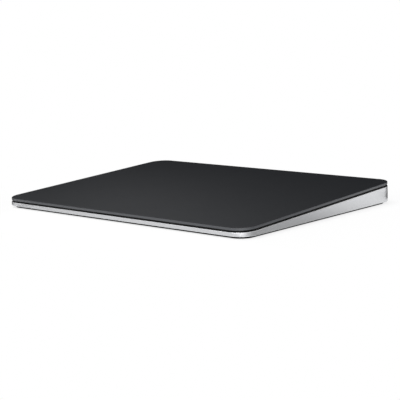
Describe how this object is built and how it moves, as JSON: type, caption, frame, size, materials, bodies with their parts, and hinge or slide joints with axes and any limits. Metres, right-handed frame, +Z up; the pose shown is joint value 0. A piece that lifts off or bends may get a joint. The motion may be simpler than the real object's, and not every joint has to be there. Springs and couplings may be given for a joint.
{
  "type": "wireless touch pad",
  "caption": "Flat rectangular touch pad with a black matte glass top floating over a wedge-shaped silver aluminium body, low at the front edge.",
  "frame": {"origin": "under the middle of the pad, on the plane that its four feet stand on", "axes": "+X to the user's right, +Y from the user's low edge to the high rear edge, +Z up"},
  "size_m": [0.16, 0.115, 0.0109],
  "materials": {
    "deck_glass": "fine etched, black printed on its underside",
    "bonding_film": "clear adhesive film",
    "circuit_board": "green solder mask",
    "deck_frame": "black, fine grained",
    "sheet_steel": "rolled stainless sheet",
    "screw_steel": "blackened screws",
    "chip": "moulded packages and connectors",
    "gel": "translucent silicone",
    "amber_film": "polyimide film with copper tracks",
    "housing_aluminium": "bead blasted, silver anodised",
    "base_plastic": "dark grey, fine grained",
    "foot_rubber": "dark rubber",
    "core_steel": "soft magnetic laminations",
    "coil_copper": "enamelled copper wire",
    "battery_pouch": "laminated foil pouch with a dark label",
    "socket_steel": "drawn steel shell",
    "contact_gold": "gold plated",
    "black_moulding": "black moulding",
    "switch_green": "green paint",
    "seal_rubber": "soft black seal",
    "antenna_copper": "etched copper track"
  },
  "bodies": {
    "base": {"antenna_carrier": "black_moulding", "antenna_flex": "antenna_copper", "base_adhesive": "bonding_film", "base_plate": "base_plastic", "battery_adhesive": "bonding_film", "battery_cell_left": "battery_pouch", "battery_cell_right": "battery_pouch", "battery_lead": "amber_film", "battery_protection_board": "circuit_board", "board_screws": "screw_steel", "bridge_flex": "amber_film", "flex_connectors": "chip", "flexure_front_left": "sheet_steel", "flexure_front_right": "sheet_steel", "flexure_rear_left": "sheet_steel", "flexure_rear_right": "sheet_steel", "flexure_screws": "screw_steel", "foot_front_left": "foot_rubber", "foot_front_right": "foot_rubber", "foot_rear_left": "foot_rubber", "foot_rear_right": "foot_rubber", "force_board": "circuit_board", "force_chips": "chip", "gauge_tails": "amber_film", "haptic_coil_left": "coil_copper", "haptic_coil_middle": "coil_copper", "haptic_coil_right": "coil_copper", "haptic_core": "core_steel", "haptic_flex": "amber_film", "haptic_frame": "sheet_steel", "housing": "housing_aluminium", "io_board": "circuit_board", "io_flex": "amber_film", "logic_board": "circuit_board", "logic_chips": "chip", "logic_shield": "sheet_steel", "port_contacts": "contact_gold", "port_gasket": "seal_rubber", "port_insulator": "black_moulding", "port_shell": "socket_steel", "strain_gauges": "amber_film", "switch_body": "black_moulding", "touch_flex": "amber_film", "travel_stops": "seal_rubber"},
    "force_pads": {"gel_pad_front_left": "gel", "gel_pad_front_right": "gel", "gel_pad_rear_left": "gel", "gel_pad_rear_right": "gel"},
    "touch_deck": {"glass_plate": "deck_glass", "glass_adhesive": "bonding_film", "touch_board": "circuit_board", "deck_frame": "deck_frame", "stiffener_plate": "sheet_steel", "attraction_rail": "core_steel", "rail_screws": "screw_steel", "touch_board_chips": "chip"},
    "power_switch": {"switch_knob": "housing_aluminium", "switch_shuttle": "black_moulding", "switch_mark": "switch_green"}
  },
  "joints": [
    {"name": "touch_press", "type": "slide", "parent": "base", "child": "force_pads", "axis": [0, 0.0522, -0.9986], "range_m": [0, 0.0002], "stiffness_N_per_m": 15000, "springref_m": -0.0001, "deforming": ["flexure_front_left", "flexure_front_right", "flexure_rear_left", "flexure_rear_right", "touch_flex"]},
    {"name": "haptic_shift", "type": "slide", "parent": "force_pads", "child": "touch_deck", "axis": [0, 0.9986, 0.0522], "range_m": [-0.00015, 0.00015], "stiffness_N_per_m": 20000},
    {"name": "power_switch_slide", "type": "slide", "parent": "base", "child": "power_switch", "axis": [-1, 0, 0], "range_m": [0, 0.0022]}
  ]
}
